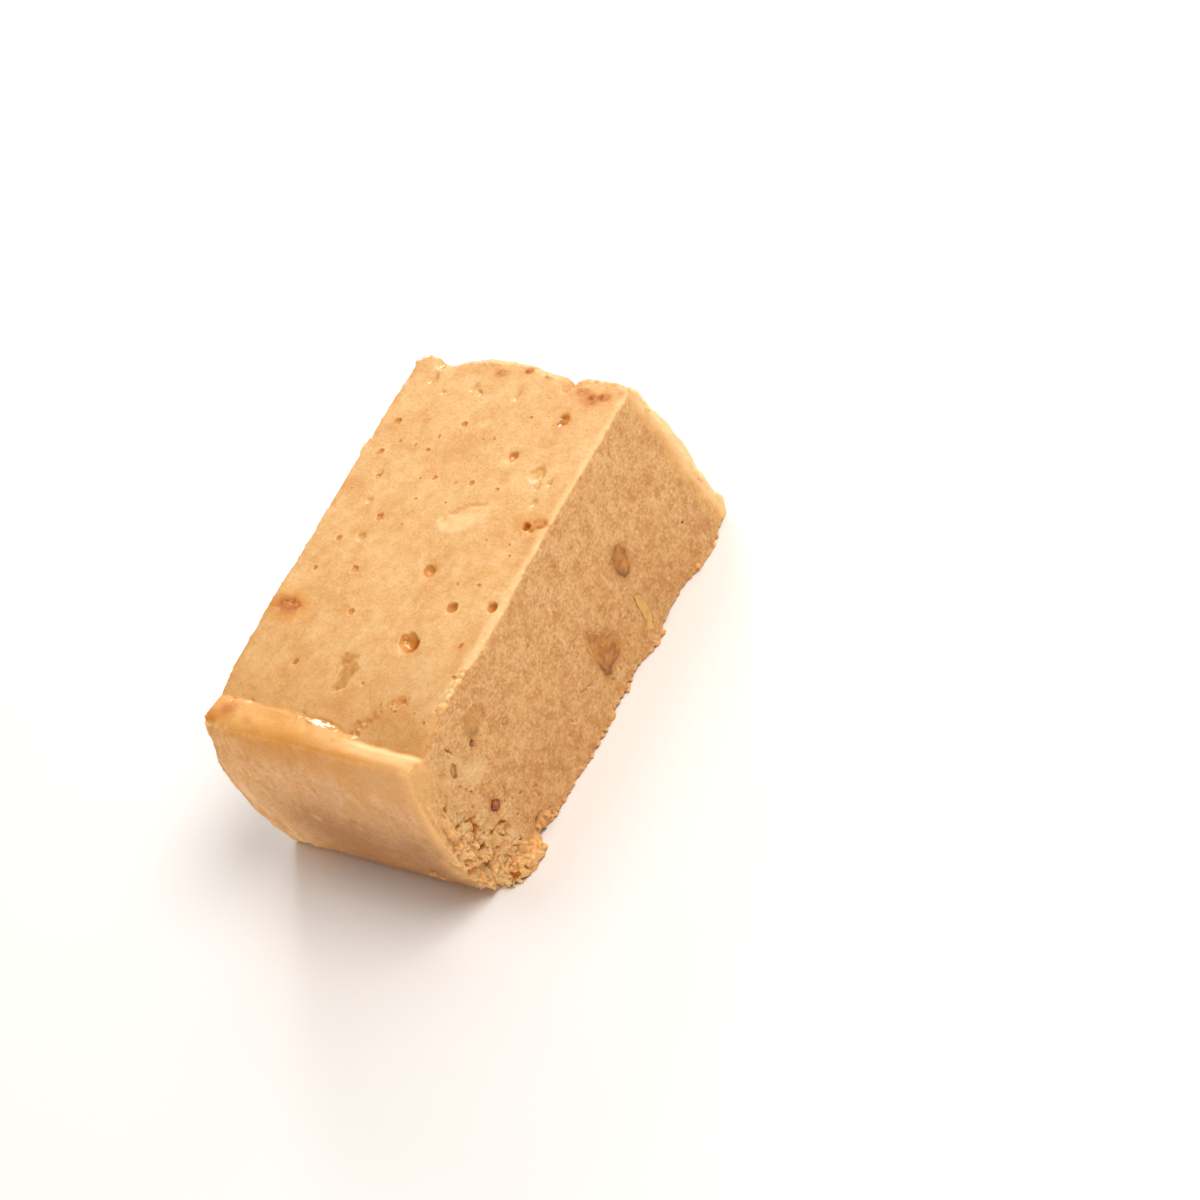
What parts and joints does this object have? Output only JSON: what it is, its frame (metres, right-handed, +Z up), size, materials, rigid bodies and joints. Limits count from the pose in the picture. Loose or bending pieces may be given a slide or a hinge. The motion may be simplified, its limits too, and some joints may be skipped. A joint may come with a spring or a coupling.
{
  "type": "block of soft nut turron",
  "caption": "Cut block of soft nut turron with a raised moulded lip at one end, burst bubbles in its skin, and cut sides. Food to serve or to fill a sweets display.",
  "frame": {"origin": "middle of the bounding box, at the base that the block rests on", "axes": "+Y along the block from the moulded lip to the cut end, +X towards the cut side whose foot is crumbled, +Z up"},
  "size_m": [0.0336, 0.0546, 0.0229],
  "materials": {
    "nut_paste": "satin toffee-coloured skin on top, matt sandy cut faces; nut and sugar paste",
    "nut_pieces": "pale and browned chopped nuts, satin",
    "caramel_bits": "dark brown caramel bits, glossy"
  },
  "bodies": {
    "root": {"turron_block": "nut_paste"}
  },
  "joints": []
}
